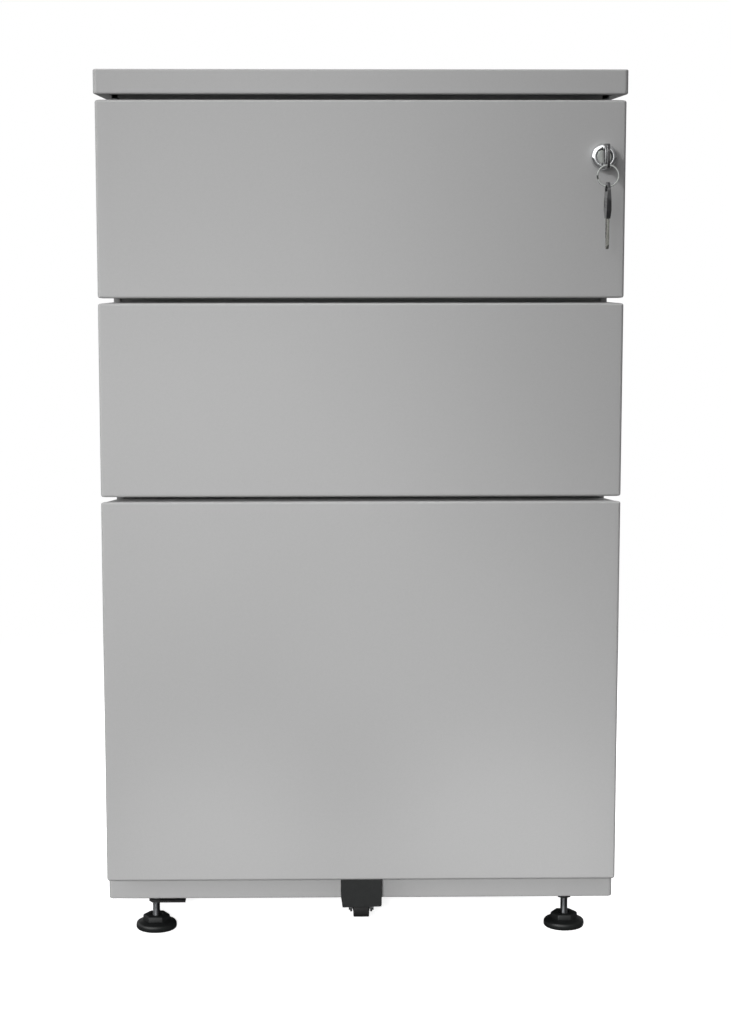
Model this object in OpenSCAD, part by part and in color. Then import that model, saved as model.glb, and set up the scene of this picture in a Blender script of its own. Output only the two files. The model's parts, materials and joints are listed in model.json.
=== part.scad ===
// Three-drawer steel pedestal filing cabinet: two box drawers over one hanging-file drawer,
// on four levelling feet, with a gang lock in the top drawer and an anti-tilt castor.
// Millimetres, +Z up, drawer fronts towards -Y, origin on the floor under the middle.

/* [Overall] */
// Width of the top cover, the widest part
width = 390; // [386:1:394]
// Depth from the drawer faces to the rear of the top cover
depth = 500; // [490:5:540]
// Height of the top surface above the floor
height = 660; // [650:1:680]
// Thickness of the steel sheet
sheet = 1; // [0.9:0.05:1.1]

/* [Top cover and base] */
// Height of the folded edge of the top cover
lid_h = 18; // [16:1:22]
// Lowest edge of the base tray above the floor
base_z = 31; // [28:1:33]
// Height of the base tray
base_h = 20; // [18:1:20]
// Distance of the base tray's face behind the drawer faces
base_back = 21; // [20.5:0.5:24]
// Width of the carcass over its side panels
carcass_w = 368; // [367:0.5:369]

/* [Drawer fronts] */
// Width of the drawer fronts
front_w = 387.6; // [385:0.2:389]
// Thickness of the drawer fronts
front_t = 20; // [19.5:0.5:20]
// Sideways inset of the rear corners that form the finger pulls
front_bevel = 10.8; // [8:0.2:12]
// Height of the two box drawer fronts
box_front_h = 144; // [140:1:147]
// Gap between one front and the next
front_gap = 3.5; // [3:0.5:5]
// Gap between the top cover and the first front
lid_gap = 4; // [3:0.5:6]
// Lowest edge of the file drawer front above the floor
file_front_z = 51.5; // [51.4:0.1:53]

/* [Drawer boxes and slides] */
// Width of the drawer boxes
box_w = 332.6; // [332:0.1:332.8]
// Length of the drawer boxes behind the fronts
box_len = 468; // [440:2:470]
// Height of the box drawers' sides
box_side_h = 94; // [90:1:98]
// Height of the file drawer's sides
file_side_h = 225; // [210:1:235]
// Length of the telescopic slides
slide_len = 460; // [430:5:460]

/* [Lock and keys] */
// Distance of the lock's axis right of the middle
lock_x = 177.4; // [176.5:0.1:177.5]
// Distance of the lock's axis below the top of its drawer front
lock_down = 41; // [40:0.5:42]
// Radius of the lock's bezel
bezel_r = 9.65; // [9.4:0.05:10]
// Travel of the lock bar
bar_travel = 7; // [6.5:0.1:7]

/* [Feet and castor] */
// Distance of each foot's axis from the middle
foot_x = 160; // [155:1:162]
// Distance of the foot's axis from the drawer faces, or from the rear
foot_in = 46; // [46:1:58]
// Height of the foot pad with its six-sided boss
pad_h = 11; // [9.5:0.1:12]
// Radius of the foot pad
pad_r = 15.8; // [14:0.1:17]
// Radius of the foot's threaded stem
stem_r = 2.9; // [2.8:0.05:3]
// Radius of the castor's wheel
castor_r = 7.6; // [7:0.1:8]

/* [Hidden] */
$fn = 64;

key_out = 36.5;                       // the keys stand this far in front of the faces
yf = -(depth - key_out) / 2;          // plane of the drawer faces
cw = carcass_w / 2;                   // outer face of a side panel
post_x = cw - 5;                      // inner face of the posts, where the slides sit
box_x = box_w / 2;                    // outer face of a drawer box
rear = depth - 2;                     // front face of the back panel, from the faces
base_top = base_z + base_h;

// Front edges' heights: [bottom, top] of each drawer front
top_z1 = height - lid_h - lid_gap;
top_z0 = top_z1 - box_front_h;
mid_z1 = top_z0 - front_gap;
mid_z0 = mid_z1 - box_front_h;
file_z1 = mid_z0 - front_gap;
file_z0 = file_front_z;

lock_z = top_z1 - lock_down;
slide_z = [top_z0 + 46, mid_z0 + 46, file_z0 + 98];     // middle height of each slide
tab_z = [top_z0 + 76, mid_z0 + 76, file_z0 + 200];      // lock bar tab of each drawer
box_z = [top_z0 + 10, mid_z0 + 10, file_z0 + 23.5];     // underside of each box

key_l = 26;      // key head length
key_wd = 18;     // key head width
key_t = 3.5;     // key head thickness
blade_l = 22;    // key blade length
key_end = -32;   // outer end of the inserted key's head
ring_r = 7.65;   // key ring, to the middle of the wire
wire_r = 0.6;    // key ring wire
slot_c = 4.5;    // middle of the key head's slot from its outer end
slot_h = 4.5;    // slot width along the key
slot_w = 14.4;     // slot length across the key
ring_y = yf + key_end + slot_c;
ring_top = lock_z - slot_w / 2 + wire_r + 0.3;
ring_z = ring_top - ring_r;
spare_top = ring_z - ring_r + wire_r + 0.3 + slot_c - slot_h / 2;

paint = "#b2b2b2";
steel = "#c4c6c8";
dark = "#2c2c2c";

// A block from its two corners, the depth counted back from the drawer faces
module blk(x0, x1, d0, d1, z0, z1) {
  translate([min(x0, x1), yf + d0, z0]) cube([abs(x1 - x0), d1 - d0, z1 - z0]);
}

// A round bar along Y
module ybar(x, z, d0, d1, r, fn = 64) {
  translate([x, yf + d1, z]) rotate([90, 0, 0]) cylinder(h = d1 - d0, r = r, $fn = fn);
}

// A round bar along X
module xbar(x0, x1, d, z, r) {
  translate([x0, yf + d, z]) rotate([0, 90, 0]) cylinder(h = x1 - x0, r = r);
}

// Plan of a rectangle with round corners
module plan(x, d0, d1, r) {
  translate([0, yf]) {
    translate([-x + r, d0]) square([2 * x - 2 * r, d1 - d0]);
    translate([-x, d0 + r]) square([2 * x, d1 - d0 - 2 * r]);
    for (sx = [-1, 1], d = [d0 + r, d1 - r]) translate([sx * (x - r), d]) circle(r);
  }
}

// A folded tray: a plate, four edges and a return flange on the open side
module tray(x, d0, d1, z0, z1, flange, up) {
  difference() {
    translate([0, 0, z0]) linear_extrude(z1 - z0) plan(x, d0, d1, 3);
    translate([0, 0, z0 + sheet]) linear_extrude(z1 - z0 - 2 * sheet)
      plan(x - sheet, d0 + sheet, d1 - sheet, 2);
    blk(-x + flange, x - flange, d0 + flange, d1 - flange,
        up ? z1 - 2 * sheet : z0 - 1, up ? z1 + 1 : z0 + 2 * sheet);
  }
}

// Folded cover; its return flange is cut away at the rear for the back panel
module lid() {
  color(paint) difference() {
    tray(width / 2, 0, depth, height - lid_h, height, 10.5, false);
    blk(-cw - 0.4, cw + 0.4, depth - 14, depth - sheet, height - lid_h - 1, height - lid_h + 2);
  }
}

module base_tray() {
  color(paint) difference() {
    tray(width / 2 - 0.6, base_back, depth - 1, base_z, base_top, 20, false);
    for (sx = [-1, 1], d = [foot_in, depth - foot_in])
      translate([sx * foot_x, yf + d, base_top - 5]) cylinder(h = 10, r = 4.2);
  }
}

// One side panel with a short return along its front edge
module side_panel(s) {
  z1 = height - sheet;
  difference() {
    union() {
      blk(s * (cw - 1), s * cw, 22, rear, base_top, z1);
      blk(s * post_x, s * (cw - 1), 22, 23, base_top, height - lid_h - 2);
    }
    if (s > 0) blk(post_x - 1, cw - 1, 21, 24, lock_z - 18, lock_z + 21);
  }
}

module side_panel_left() { color(paint) side_panel(-1); }
module side_panel_right() { color(paint) side_panel(1); }

module back_panel() {
  color(paint) difference() {
    blk(-cw, cw, rear, rear + 1, base_top, height - sheet);
    for (sx = [-1, 1], i = [0:3]) ybar(sx * (cw - 3), 110 + i * 160, rear - 1, rear + 2, 1.7);
  }
}

// One angle across the carcass between its posts: a web at depth d and a flange behind it
module rail(d, back, z0, z1, zf) {
  x = post_x - 0.2;
  blk(-x, x, d, d + 1, z0, z1);
  blk(-x, x, min(d, back), max(d + 1, back), zf, zf + 1);
}

// Angles behind the gaps at the front, and one under the top cover near the rear
module cross_rails() {
  color(paint) {
    rail(23.5, 60, top_z1 - 7, height - 1.2, height - 2.2);
    rail(23.5, 42, top_z0 - front_gap - 6, top_z0 + 6, top_z0 - front_gap - 6);
    rail(23.5, 42, mid_z0 - front_gap - 6, mid_z0 + 6, mid_z0 - front_gap - 6);
    rail(rear - 30, rear - 62, height - lid_h, height - 1.2, height - 2.2);
  }
}

// A hat-section post: inner face and two webs against the side panel
module post(s, d0, d1) {
  z0 = base_top;
  z1 = height - lid_h - 2;
  blk(s * post_x, s * (post_x + 1), d0, d1, z0, z1);
  blk(s * post_x, s * (cw - 1), d0, d0 + 1, z0, z1);
  blk(s * post_x, s * (cw - 1), d1 - 1, d1, z0, z1);
}

module slide_holes(s, d) {
  for (z = slide_z) translate([s * post_x - 3, yf + d, z]) rotate([0, 90, 0])
    cylinder(h = 6, r = 1.8);
}

module front_post_left() {
  color(paint) difference() { post(-1, 24, 44); slide_holes(-1, 40.5); }
}

module front_post_right() {
  color(paint) difference() {
    post(1, 24, 44);
    slide_holes(1, 40.5);
    blk(post_x - 1, cw - 0.9, 23, 36, lock_z - 18, lock_z + 21);
    for (z = tab_z) blk(post_x - 1, post_x + 1.1, 28.5, 35.5, z - 5.5, z + bar_travel + 5.5);
  }
}

module rear_post(s) {
  difference() {
    post(s, rear - 26, rear);
    slide_holes(s, rear - 18);
    for (i = [0:3]) ybar(s * (cw - 3), 110 + i * 160, rear - 5, rear + 1, 1.8);
  }
}

module rear_posts() { color(paint) for (s = [-1, 1]) rear_post(s); }

// Section of a slide member in the plane of X and Z, from the post inwards
module outer_section() {
  translate([0, -22.5]) square([1.2, 45]);
  for (s = [-1, 1]) scale([1, 1]) mirror([0, s < 0 ? 1 : 0]) {
    translate([0, 21.3]) square([10.2, 1.2]);
    translate([9, 18.6]) square([1.2, 3.9]);
  }
}

module middle_section() {
  translate([2.6, -17.6]) square([1.2, 35.2]);
  for (s = [0, 1]) mirror([0, s]) translate([2.6, 16.4]) square([7, 1.2]);
}

module inner_section() {
  translate([11.5, -12.5]) square([1.2, 25]);
  for (s = [0, 1]) mirror([0, s]) translate([5, 11.3]) square([7.7, 1.2]);
}

// Extrudes a section along the slide and puts it on one side at height z
module member(s, z, kind) {
  translate([s * post_x, yf + 26 + slide_len, z]) mirror([s > 0 ? 1 : 0, 0, 0])
    rotate([90, 0, 0]) linear_extrude(slide_len) {
      if (kind == 0) outer_section();
      if (kind == 1) middle_section();
      if (kind == 2) inner_section();
    }
}

module slide_outer(z) {
  color(steel) difference() {
    for (s = [-1, 1]) member(s, z, 0);
    for (s = [-1, 1], d = [40.5, rear - 18])
      translate([s * (post_x - 1) - 3, yf + d, z]) rotate([0, 90, 0]) cylinder(h = 6, r = 1.8);
  }
}

module slide_outer_top() { slide_outer(slide_z[0]); }
module slide_outer_middle() { slide_outer(slide_z[1]); }
module slide_outer_file() { slide_outer(slide_z[2]); }

module slide_pair(z, kind) { color(steel) for (s = [-1, 1]) member(s, z, kind); }

module slide_middle_top() { slide_pair(slide_z[0], 1); }
module slide_middle_middle() { slide_pair(slide_z[1], 1); }
module slide_middle_file() { slide_pair(slide_z[2], 1); }
module slide_inner_top() { slide_pair(slide_z[0], 2); }
module slide_inner_middle() { slide_pair(slide_z[1], 2); }
module slide_inner_file() { slide_pair(slide_z[2], 2); }

module slide_screws() {
  color(steel) for (s = [-1, 1], d = [40.5, rear - 18], z = slide_z)
    translate([s * (post_x - 1.2), yf + d, z]) rotate([0, s * 90, 0]) {
      cylinder(h = 3.2, r = 1.7);
      translate([0, 0, -1]) cylinder(h = 1, r = 3.2);
    }
}

module back_screws() {
  color(steel) for (s = [-1, 1], i = [0:3])
    translate([s * (cw - 3), yf + rear + 1, 110 + i * 160]) {
      rotate([90, 0, 0]) cylinder(h = 4, r = 1.6);
      rotate([-90, 0, 0]) cylinder(h = 0.9, r = 3);
    }
}

module drawer_buffers() {
  color(dark) for (s = [-1, 1], z = [top_z0 + 20, mid_z0 + 20, file_z0 + 40])
    ybar(s * (post_x + 2.2), z, 20.5, 22, 2);
}

module foot_plates() {
  color(dark) for (s = [-1, 1], d = [foot_in, depth - foot_in])
    difference() {
      union() {
        blk(s * 130, s * (width / 2 - 3), d - 23, d + 23, base_z + 1, base_z + 3.5);
        translate([s * foot_x, yf + d, base_z + 3.5]) cylinder(h = 9, r = 5.5);
      }
      translate([s * foot_x, yf + d, base_z]) cylinder(h = 20, r = stem_r + 0.05);
    }
}

module lock_bar() {
  color(steel) difference() {
    union() {
      blk(post_x + 1.6, post_x + 3.2, 28, 37, tab_z[2] - 20, lock_z + 12);
      for (z = tab_z) blk(post_x - 7.5, post_x + 3.2, 30, 34, z - 4, z + 4);
      blk(box_x + 0.7, post_x + 3.2, 30, 32, lock_z - 4.4, lock_z + 6);
    }
    blk(lock_x - bar_travel - 1.9, lock_x + 1.9, 29, 33, lock_z - 1.85, lock_z + 3.3);
  }
}

// Plan of a drawer front: full width at the face, rear corners bevelled for the fingers
module front_plan(wall, d0, d1) {
  function hx(d) = front_w / 2 - front_bevel * d / front_t - wall;
  translate([0, yf]) polygon([[-hx(d0), d0], [hx(d0), d0], [hx(d1), d1], [-hx(d1), d1]]);
}

module front_pan(z0, z1) {
  difference() {
    translate([0, 0, z0]) linear_extrude(z1 - z0) front_plan(0, 0, front_t);
    translate([0, 0, z0 + sheet]) linear_extrude(z1 - z0 - 2 * sheet)
      front_plan(1.14 * sheet, sheet, front_t + 1);
  }
}

// Rear skin of a front, let into the pan
module liner(z0, z1) {
  blk(-front_w / 2 + front_bevel + 1.4, front_w / 2 - front_bevel - 1.4,
      front_t - 1, front_t, z0 + sheet + 0.1, z1 - sheet - 0.1);
}

// Folded box: floor, sides and front wall, with hemmed rims
module tub(z0, h) {
  difference() {
    blk(-box_x, box_x, front_t, front_t + box_len, z0, z0 + h);
    blk(-box_x + 1, box_x - 1, front_t + 1, front_t + box_len + 1, z0 + 1, z0 + h + 1);
  }
  for (s = [-1, 1])
    blk(s * (box_x - 2.2), s * (box_x - 1), front_t + 1, front_t + box_len - 1, z0 + h - 7, z0 + h);
}

// Catch on a box's side, behind the lock bar's tab when the bar is up
module catch(tz) {
  color(steel) difference() {
    union() {
      blk(box_x, post_x - 4, 35.5, 38.5, tz + 5.5, tz + 14);
      blk(box_x, box_x + 1.2, 38.5, 50, tz + 5.5, tz + 14);
    }
    translate([box_x - 1, yf + 44.5, tz + 9.75]) rotate([0, 90, 0]) cylinder(h = 4, r = 1.7);
  }
}

module tub_back(z0, h) {
  blk(-box_x + 2.4, box_x - 2.4, front_t + box_len - 1, front_t + box_len, z0 + 1, z0 + h);
}

module drawer_top_front() {
  color(paint) difference() { front_pan(top_z0, top_z1); ybar(lock_x, lock_z, -1, 2, 7.1); }
}
module drawer_top_liner() {
  color(paint) difference() { liner(top_z0, top_z1); ybar(lock_x, lock_z, 15, 22, 3.6); }
}
module drawer_top_tub() { color(paint) tub(box_z[0], box_side_h); }
module drawer_top_catch() { catch(tab_z[0]); }
module drawer_top_back() { color(paint) tub_back(box_z[0], box_side_h); }

module drawer_middle_front() { color(paint) front_pan(mid_z0, mid_z1); }
module drawer_middle_liner() { color(paint) liner(mid_z0, mid_z1); }
module drawer_middle_tub() { color(paint) tub(box_z[1], box_side_h); }
module drawer_middle_catch() { catch(tab_z[1]); }
module drawer_middle_back() { color(paint) tub_back(box_z[1], box_side_h); }

module drawer_file_front() { color(paint) front_pan(file_z0, file_z1); }
module drawer_file_liner() { color(paint) liner(file_z0, file_z1); }
module drawer_file_tub() { color(paint) tub(box_z[2], file_side_h); }
module drawer_file_catch() { catch(tab_z[2]); }
module drawer_file_back() { color(paint) tub_back(box_z[2], file_side_h); }

// Rails for hanging files, standing on the file box's rims
module hanging_rails() {
  z = box_z[2] + file_side_h;
  color(steel) for (s = [-1, 1]) {
    blk(s * (box_x - 2.2), s * box_x, 60, 430, z, z + 10);
    blk(s * (box_x - 5), s * (box_x - 2.2), 60, 430, z + 8.8, z + 10);
  }
}

// Bezel and barrel of the lock, bored for the plug
module lock_housing() {
  color("#d8dade") translate([lock_x, yf, lock_z]) rotate([90, 0, 0]) rotate_extrude()
    difference() {
      union() {
        translate([5.06, -14]) square([1.94, 14.5]);
        translate([5.06, 0]) square([bezel_r - 5.06, 2.6]);
        translate([5.06, 0]) square([bezel_r - 5.06 - 2.4, 5]);
        intersection() {
          translate([bezel_r - 2.4, 2.6]) circle(2.4);
          translate([bezel_r - 2.4, 2.6]) square([2.4, 2.4]);
        }
      }
      translate([0, -15]) square([5.06, 25]);
    }
}

module lock_nut() {
  color(steel) difference() {
    ybar(lock_x, lock_z, 1.1, 4, 9.4, 6);
    ybar(lock_x, lock_z, 0, 5, 7.06);
  }
}

module lock_plug() {
  color("#cfd1d4") difference() {
    union() {
      ybar(lock_x, lock_z, -4.4, 17, 5);
      ybar(lock_x, lock_z, 17, 22.5, 2.95);
    }
    blk(lock_x - 1.3, lock_x + 1.3, -5, 16.4, lock_z - 4.2, lock_z + 4.2);
  }
}

// Cam with its drive pin and the screw that holds it
module lock_cam() {
  color(steel) {
    difference() {
      union() {
        ybar(lock_x, lock_z, 20.6, 22.2, 5.2);
        blk(lock_x - bar_travel, lock_x, 20.6, 22.2, lock_z - 2.8, lock_z + 2.8);
        ybar(lock_x - bar_travel, lock_z, 20.6, 22.2, 2.8);
      }
      ybar(lock_x, lock_z, 20, 23, 3);
    }
    ybar(lock_x - bar_travel, lock_z, 22, 33.5, 1.5);
    ybar(lock_x, lock_z, 22.6, 24.2, 4.2, 6);
  }
}

// Outline of a key head, length along +X from its outer end
module head_plan() {
  r = 6;
  difference() {
    union() {
      translate([r, -key_wd / 2]) square([key_l - r - 6, key_wd]);
      translate([0, -key_wd / 2 + r]) square([key_l - 6, key_wd - 2 * r]);
      for (s = [-1, 1]) translate([r, s * (key_wd / 2 - r)]) circle(r);
      polygon([[key_l - 6, -key_wd / 2], [key_l - 1, -5.5], [key_l, -5.5],
               [key_l, 5.5], [key_l - 1, 5.5], [key_l - 6, key_wd / 2]]);
    }
    translate([slot_c - slot_h / 2, -(slot_w - slot_h) / 2]) square([slot_h, slot_w - slot_h]);
    for (s = [-1, 1]) translate([slot_c, s * (slot_w - slot_h) / 2]) circle(slot_h / 2);
  }
}

// Outline of a key blade with its cuts, length along +X from the head
module blade_plan() {
  difference() {
    polygon([[0, -3.8], [blade_l - 2.5, -3.8], [blade_l, -1], [blade_l, 1.4],
             [blade_l - 1.5, 3.8], [0, 3.8]]);
    for (c = [[6, 1.2], [9, 2.1], [12, 0.9], [15, 1.7]])
      polygon([[c[0] - 1.4, 3.9], [c[0] - 0.5, 3.8 - c[1]], [c[0] + 0.5, 3.8 - c[1]],
               [c[0] + 1.4, 3.9]]);
    translate([key_l, 0]) square(0.01);
  }
}

// Puts a key outline into the lock: length towards +Y, width along Z, thickness along X
module in_lock(t) {
  translate([lock_x + t / 2, 0, lock_z]) rotate([0, -90, 0]) linear_extrude(t)
    rotate(90) mirror([0, 1]) children();
}

// Puts a key outline on the ring: length downwards, width along Y
module on_ring(t, z) {
  translate([lock_x - t / 2, ring_y, z]) rotate([0, 90, 0]) linear_extrude(t) children();
}

module key_head() { color(dark) translate([0, yf + key_end, 0]) in_lock(key_t) head_plan(); }
module key_blade() { color(steel) translate([0, yf + key_end + key_l, 0]) in_lock(2) blade_plan(); }
module spare_key_head() { color(dark) on_ring(key_t, spare_top) head_plan(); }
module spare_key_blade() { color(steel) on_ring(2, spare_top - key_l) blade_plan(); }

module key_ring() {
  color("#d8dade") translate([lock_x, ring_y, ring_z]) rotate([90, 0, 0])
    rotate_extrude() translate([ring_r, 0]) circle(wire_r, $fn = 24);
}

// Anti-tilt castor under the file drawer's front
castor_d = 10;
castor_z = 27.3;

module castor_housing() {
  color(dark) difference() {
    blk(-15.6, 15.6, 0.5, 19.5, base_z - 1.4, file_z0);
    blk(-13.6, 13.6, 1.5, 18.5, base_z - 2, file_z0 - 2);
  }
}

module castor_fork() {
  color(steel) difference() {
    union() {
      for (s = [-1, 1]) {
        blk(s * 6.9, s * 8.5, castor_d - 3.6, castor_d + 3.6, castor_z, 41);
        xbar(s > 0 ? 6.9 : -8.5, s > 0 ? 8.5 : -6.9, castor_d, castor_z, 3.6);
      }
      blk(-8.5, 8.5, 5, 15, 41, 42.6);
    }
    xbar(-12, 12, castor_d, castor_z, 1.5);
  }
}

module castor_axle() {
  color(steel) {
    xbar(-9.3, 9.3, castor_d, castor_z, 1.5);
    xbar(8.5, 9.6, castor_d, castor_z, 2.4);
    xbar(-9.6, -8.5, castor_d, castor_z, 2.4);
  }
}

module castor_wheel() {
  color(dark) translate([0, yf + castor_d, castor_z]) rotate([0, 90, 0]) rotate_extrude()
    polygon([[1.55, -6.4], [3.2, -6.4], [3.2, -5.6], [castor_r - 1, -5.6],
             [castor_r, -4.6], [castor_r, 4.6], [castor_r - 1, 5.6], [3.2, 5.6],
             [3.2, 6.4], [1.55, 6.4]]);
}

// Levelling foot: a pad with a six-sided boss, and a threaded stem with its jam nut
module foot_pad(s, d) {
  color(dark) translate([s * foot_x, yf + d, 0]) difference() {
    union() {
      rotate_extrude() polygon([[0, 0], [pad_r - 0.8, 0], [pad_r, 0.8], [pad_r, 3.6],
        [pad_r - 0.8, 4.8], [pad_r - 2.6, 5.9], [10, 7], [0, 7]]);
      translate([0, 0, 6.5]) cylinder(h = pad_h - 6.5, r = 10.6, $fn = 6);
    }
    translate([0, 0, 5]) cylinder(h = 10, r = 4.4);
  }
}

module foot_stem(s, d, nut_z, turn) {
  color(steel) translate([s * foot_x, yf + d, 0]) {
    translate([0, 0, 5]) cylinder(h = 43, r = stem_r);
    translate([0, 0, 5]) cylinder(h = 1.6, r = 4.3);
    rotate(turn) translate([0, 0, nut_z]) difference() {
      union() {
        cylinder(h = 2.4, r = 5.6, $fn = 6);
        translate([0, -5, 0]) cube([23, 10, 1.6]);
      }
      translate([0, 0, -1]) cylinder(h = 5, r = stem_r + 0.05);
    }
  }
}

module foot_pad_front_left() { foot_pad(-1, foot_in); }
module foot_pad_front_right() { foot_pad(1, foot_in); }
module foot_pad_rear_left() { foot_pad(-1, depth - foot_in); }
module foot_pad_rear_right() { foot_pad(1, depth - foot_in); }
module foot_stem_front_left() { foot_stem(-1, foot_in, 21.5, 0); }
module foot_stem_front_right() { foot_stem(1, foot_in, 23.4, 90); }
module foot_stem_rear_left() { foot_stem(-1, depth - foot_in, 23.4, -60); }
module foot_stem_rear_right() { foot_stem(1, depth - foot_in, 23.4, 200); }

lid();
side_panel_left();
side_panel_right();
back_panel();
base_tray();
cross_rails();
front_post_left();
front_post_right();
rear_posts();
slide_outer_top();
slide_outer_middle();
slide_outer_file();
foot_plates();
back_screws();
slide_screws();
drawer_buffers();
lock_bar();
slide_middle_top();
slide_middle_middle();
slide_middle_file();
drawer_top_front();
drawer_top_liner();
drawer_top_tub();
drawer_top_back();
drawer_top_catch();
slide_inner_top();
lock_housing();
lock_nut();
drawer_middle_front();
drawer_middle_liner();
drawer_middle_tub();
drawer_middle_back();
drawer_middle_catch();
slide_inner_middle();
drawer_file_front();
drawer_file_liner();
drawer_file_tub();
drawer_file_back();
drawer_file_catch();
slide_inner_file();
hanging_rails();
castor_housing();
castor_fork();
castor_axle();
castor_wheel();
lock_plug();
lock_cam();
key_blade();
key_head();
key_ring();
spare_key_blade();
spare_key_head();
foot_pad_front_left();
foot_pad_front_right();
foot_pad_rear_left();
foot_pad_rear_right();
foot_stem_front_left();
foot_stem_front_right();
foot_stem_rear_left();
foot_stem_rear_right();
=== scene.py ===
import bpy, bmesh, json, math
import numpy as np
from mathutils import Vector, Matrix

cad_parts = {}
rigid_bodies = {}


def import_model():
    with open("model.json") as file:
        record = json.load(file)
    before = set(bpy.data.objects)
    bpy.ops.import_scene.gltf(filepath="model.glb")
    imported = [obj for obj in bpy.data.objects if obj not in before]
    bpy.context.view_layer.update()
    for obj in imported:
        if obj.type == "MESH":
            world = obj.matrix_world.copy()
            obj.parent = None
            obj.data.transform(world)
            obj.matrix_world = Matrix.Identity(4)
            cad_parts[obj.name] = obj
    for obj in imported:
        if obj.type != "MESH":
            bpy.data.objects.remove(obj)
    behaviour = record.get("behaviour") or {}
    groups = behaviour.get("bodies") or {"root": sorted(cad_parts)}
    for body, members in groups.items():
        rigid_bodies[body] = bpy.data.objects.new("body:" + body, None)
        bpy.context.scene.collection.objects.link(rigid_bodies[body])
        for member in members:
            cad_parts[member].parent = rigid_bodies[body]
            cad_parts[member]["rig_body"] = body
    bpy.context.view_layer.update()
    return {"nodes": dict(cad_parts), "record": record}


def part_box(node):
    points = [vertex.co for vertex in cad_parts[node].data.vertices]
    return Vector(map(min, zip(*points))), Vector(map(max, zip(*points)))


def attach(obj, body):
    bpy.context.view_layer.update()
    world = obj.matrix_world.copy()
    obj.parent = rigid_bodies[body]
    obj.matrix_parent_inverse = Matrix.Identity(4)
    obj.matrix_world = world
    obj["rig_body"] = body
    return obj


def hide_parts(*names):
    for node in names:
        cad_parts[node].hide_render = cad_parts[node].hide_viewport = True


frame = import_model()
N = frame["nodes"]
sc = bpy.context.scene
MM = 0.001

# ------------------------------------------------------------------ camera
front_lo, front_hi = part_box("drawer_file_front")
YF = front_lo.y                      # plane of the drawer faces
lid_lo, lid_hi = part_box("lid")
cam_data = bpy.data.cameras.new("camera")
cam_data.sensor_width = 36.0
cam_data.lens = 79.30
cam_data.clip_start, cam_data.clip_end = 0.05, 60.0
cam = bpy.data.objects.new("camera", cam_data)
sc.collection.objects.link(cam)
cam.location = (-0.027, YF - 1.665, 0.566)
cam.rotation_euler = (math.radians(90 - 7.88), 0.0, math.radians(-1.037))
sc.camera = cam
sc.view_settings.view_transform = "Standard"
sc.view_settings.look = "None"
sc.view_settings.exposure = 0.0
sc.view_settings.gamma = 1.0


# ------------------------------------------------------------------ materials
def new_mat(name):
    m = bpy.data.materials.new(name)
    m.use_nodes = True
    nt = m.node_tree
    nt.nodes.clear()
    out = nt.nodes.new("ShaderNodeOutputMaterial")
    bs = nt.nodes.new("ShaderNodeBsdfPrincipled")
    nt.links.new(bs.outputs[0], out.inputs[0])
    co = nt.nodes.new("ShaderNodeTexCoord")
    return m, nt, bs, co.outputs["Object"]


def stretch(nt, vec, scale):
    mp = nt.nodes.new("ShaderNodeMapping")
    mp.inputs["Scale"].default_value = scale
    nt.links.new(vec, mp.inputs["Vector"])
    return mp.outputs["Vector"]


def noise(nt, vec, scale, detail=2.0, rough=0.5):
    n = nt.nodes.new("ShaderNodeTexNoise")
    n.inputs["Scale"].default_value = scale
    n.inputs["Detail"].default_value = detail
    n.inputs["Roughness"].default_value = rough
    nt.links.new(vec, n.inputs["Vector"])
    return n.outputs["Fac"]


def ramp(nt, fac, stops):
    r = nt.nodes.new("ShaderNodeValToRGB")
    el = r.color_ramp.elements
    while len(el) < len(stops):
        el.new(0.5)
    for e, (p, c) in zip(el, stops):
        e.position = p
        e.color = (*c, 1.0) if not isinstance(c, float) else (c, c, c, 1.0)
    nt.links.new(fac, r.inputs["Fac"])
    return r.outputs["Color"]


def remap(nt, fac, a, b, lo=0.3, hi=0.7):
    r = nt.nodes.new("ShaderNodeMapRange")
    r.inputs["From Min"].default_value = lo
    r.inputs["From Max"].default_value = hi
    r.inputs["To Min"].default_value = a
    r.inputs["To Max"].default_value = b
    nt.links.new(fac, r.inputs["Value"])
    return r.outputs["Result"]


def mult(nt, a, b):
    m = nt.nodes.new("ShaderNodeMix")
    m.data_type = "RGBA"
    m.blend_type = "MULTIPLY"
    m.inputs[0].default_value = 1.0
    nt.links.new(a, m.inputs[6])
    nt.links.new(b, m.inputs[7])
    return m.outputs[2]


def bump(nt, bs, height, distance, strength, prev=None):
    b = nt.nodes.new("ShaderNodeBump")
    b.inputs["Strength"].default_value = strength
    b.inputs["Distance"].default_value = distance
    nt.links.new(height, b.inputs["Height"])
    if prev is not None:
        nt.links.new(prev, b.inputs["Normal"])
    nt.links.new(b.outputs["Normal"], bs.inputs["Normal"])
    return b.outputs["Normal"]


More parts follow.
